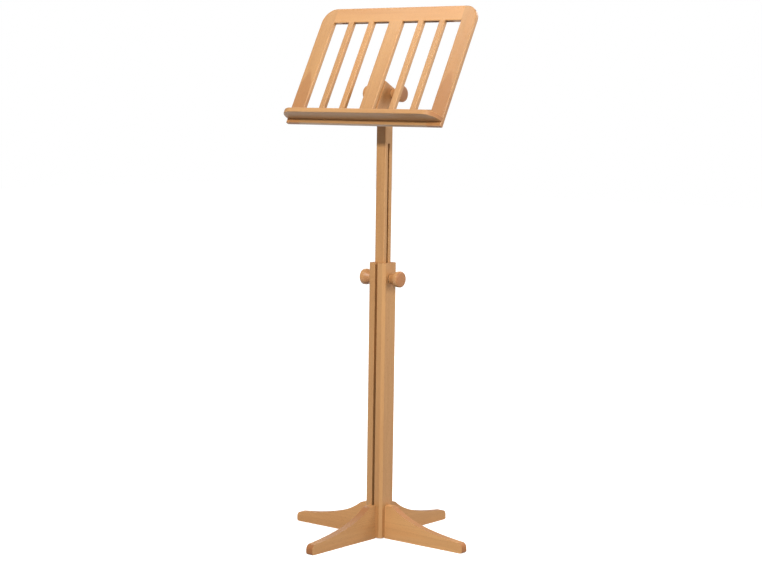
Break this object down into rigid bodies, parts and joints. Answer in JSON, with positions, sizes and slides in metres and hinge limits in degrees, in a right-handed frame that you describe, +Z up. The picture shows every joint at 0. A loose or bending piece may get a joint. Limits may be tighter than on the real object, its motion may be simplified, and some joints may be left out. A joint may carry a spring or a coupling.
{
  "type": "music stand",
  "caption": "Wooden music stand with a slatted tilting desk and ledge on a sliding square post, clamped by turned wooden knobs over shaped legs.",
  "frame": {"origin": "on the floor under the middle of the column", "axes": "+Z up, the musician stands at -Y and faces +Y, the desk's width runs along X"},
  "size_m": [0.544, 0.544, 1.3507],
  "materials": {
    "beech_column": "satin lacquer",
    "beech_leg": "satin lacquer",
    "dowel_wood": "raw",
    "zinc_steel": "zinc plated",
    "beech_post": "satin lacquer",
    "beech_desk": "satin lacquer",
    "beech_ledge": "satin lacquer",
    "beech_bracket": "satin lacquer",
    "beech_knob": "satin lacquer",
    "brass_insert": "turned"
  },
  "bodies": {
    "base": {"column_left": "beech_column", "column_right": "beech_column", "column_core": "beech_column", "leg_front": "beech_leg", "leg_back": "beech_leg", "leg_left": "beech_leg", "leg_right": "beech_leg", "leg_dowels": "dowel_wood", "height_rod": "zinc_steel", "height_washers": "zinc_steel"},
    "post": {"post": "beech_post"},
    "desk": {"left_stile": "beech_desk", "right_stile": "beech_desk", "top_rail": "beech_desk", "bottom_rail": "beech_desk", "centre_stile": "beech_desk", "slat_1": "beech_desk", "slat_2": "beech_desk", "slat_3": "beech_desk", "slat_4": "beech_desk", "ledge": "beech_ledge", "ledge_screws": "zinc_steel", "ear_left": "beech_bracket", "ear_right": "beech_bracket", "ear_dowels": "dowel_wood", "tilt_rod": "zinc_steel", "tilt_washers": "zinc_steel"},
    "height_knob_left": {"height_knob_left": "beech_knob", "height_insert_left": "brass_insert"},
    "height_knob_right": {"height_knob_right": "beech_knob", "height_insert_right": "brass_insert"},
    "tilt_knob_left": {"tilt_knob_left": "beech_knob", "tilt_insert_left": "brass_insert"},
    "tilt_knob_right": {"tilt_knob_right": "beech_knob", "tilt_insert_right": "brass_insert"}
  },
  "joints": [
    {"name": "height_slide", "type": "slide", "parent": "base", "child": "post", "axis": [0, 0, 1], "range_m": [-0.334, 0.215]},
    {"name": "desk_tilt", "type": "hinge", "parent": "post", "child": "desk", "pos_m": [0, 0, 1.132], "axis": [1, 0, 0], "range_deg": [-62.5, 27.5]},
    {"name": "height_knob_left_turn", "type": "hinge", "parent": "base", "child": "height_knob_left", "pos_m": [-0.03, 0, 0.667], "axis": [-1, 0, 0], "range_deg": [0, 360]},
    {"name": "height_knob_right_turn", "type": "hinge", "parent": "base", "child": "height_knob_right", "pos_m": [0.03, 0, 0.667], "axis": [1, 0, 0], "range_deg": [0, 360]},
    {"name": "tilt_knob_left_turn", "type": "hinge", "parent": "desk", "child": "tilt_knob_left", "pos_m": [-0.03, 0, 1.132], "axis": [-1, 0, 0], "range_deg": [0, 360]},
    {"name": "tilt_knob_right_turn", "type": "hinge", "parent": "desk", "child": "tilt_knob_right", "pos_m": [0.03, 0, 1.132], "axis": [1, 0, 0], "range_deg": [0, 360]}
  ]
}
